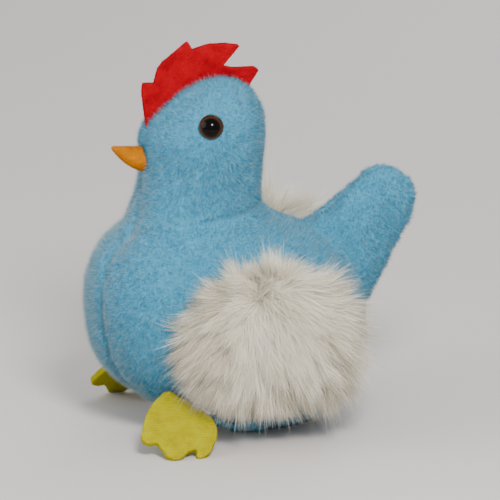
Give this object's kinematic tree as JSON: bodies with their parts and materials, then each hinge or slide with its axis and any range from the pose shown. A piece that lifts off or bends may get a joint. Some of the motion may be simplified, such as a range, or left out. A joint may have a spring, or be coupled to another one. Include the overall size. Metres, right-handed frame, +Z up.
{
  "type": "wind-up hopping chicken",
  "caption": "Plush chicken with felt comb, beak and feet and fur wing pads; a key-wound spring movement inside kicks its leg frame down so that it hops.",
  "frame": {"origin": "on the flat underside of the seat plate, in the body's middle plane and in front of the plate's centre", "axes": "+Z up; the chicken faces -Y; its own left side is +X; all arbors of the movement run along X"},
  "size_m": [0.13, 0.1681, 0.194],
  "materials": {
    "plush": "matte",
    "fur": "matte",
    "fibre": "matte",
    "red_felt": "matte",
    "orange_felt": "matte",
    "yellow_felt": "matte",
    "eye_plastic": "gloss",
    "washer_plastic": "matte",
    "seat_plastic": "matte",
    "housing_plastic": "satin",
    "plate_steel": "satin",
    "spring_steel": "satin",
    "screw_steel": "satin",
    "key_nickel": "polished",
    "arbor_steel": "polished",
    "wheel_brass": "satin"
  },
  "bodies": {
    "root": {"left_panel": "plush", "right_panel": "plush", "chest_gusset": "plush", "base_panel": "plush", "stuffing": "fibre", "left_wing": "fur", "right_wing": "fur", "comb_left_layer": "red_felt", "comb_right_layer": "red_felt", "beak": "orange_felt", "beak_filling": "fibre", "left_eye": "eye_plastic", "right_eye": "eye_plastic", "eye_washers": "washer_plastic", "key_collar": "seat_plastic", "seat_plate": "seat_plastic", "seat_screws": "screw_steel", "left_housing": "housing_plastic", "right_housing": "housing_plastic", "housing_screws": "screw_steel", "left_plate": "plate_steel", "right_plate": "plate_steel", "pillars": "screw_steel", "mainspring": "spring_steel", "leg_spring": "spring_steel"},
    "great_wheel_body": {"great_wheel": "wheel_brass", "click_rivet": "arbor_steel", "click_spring": "spring_steel"},
    "click_body": {"click": "arbor_steel"},
    "winder": {"winding_arbor": "arbor_steel", "ratchet_wheel": "wheel_brass", "winding_key": "key_nickel"},
    "crank": {"crank_arbor": "arbor_steel", "crank_pinion": "arbor_steel", "crank_wheel": "wheel_brass", "kick_cam": "arbor_steel"},
    "escapement": {"escape_arbor": "arbor_steel", "escape_pinion": "arbor_steel", "escape_wheel": "wheel_brass"},
    "verge_body": {"verge_arbor": "arbor_steel", "verge": "wheel_brass"},
    "legs": {"leg_shaft": "arbor_steel", "leg_collars": "plate_steel", "leg_lever": "plate_steel", "left_leg": "plate_steel", "right_leg": "plate_steel", "left_foot": "yellow_felt", "right_foot": "yellow_felt"}
  },
  "joints": [
    {"name": "run_down", "type": "hinge", "parent": "root", "child": "great_wheel_body", "pos_m": [0, 0.036, 0.024], "axis": [1, 0, 0], "continuous": true},
    {"name": "winding", "type": "hinge", "parent": "great_wheel_body", "child": "winder", "pos_m": [0, 0.036, 0.024], "axis": [1, 0, 0], "continuous": true},
    {"name": "click_lift", "type": "hinge", "parent": "great_wheel_body", "child": "click_body", "pos_m": [0, 0.0403, 0.03145], "axis": [-1, 0, 0], "range_deg": [0, 8], "stiffness_Nm_per_rad": 0.0005, "springref_deg": -1.15},
    {"name": "crank_turn", "type": "hinge", "parent": "root", "child": "crank", "pos_m": [0, 0.02138, 0.02063], "axis": [1, 0, 0], "continuous": true},
    {"name": "escape_turn", "type": "hinge", "parent": "root", "child": "escapement", "pos_m": [0, 0.01479, 0.03005], "axis": [1, 0, 0], "continuous": true},
    {"name": "verge_rock", "type": "hinge", "parent": "root", "child": "verge_body", "pos_m": [0, 0.00633, 0.02697], "axis": [1, 0, 0], "range_deg": [-5, 5]},
    {"name": "legs_kick", "type": "hinge", "parent": "root", "child": "legs", "pos_m": [0, 0.005, 0.013], "axis": [1, 0, 0], "range_deg": [0, 10], "stiffness_Nm_per_rad": 0.08, "springref_deg": -6.88}
  ],
  "couplings": [
    {"joint": "crank_turn", "follows": "run_down", "ratio": -4},
    {"joint": "escape_turn", "follows": "run_down", "ratio": 14.4}
  ]
}
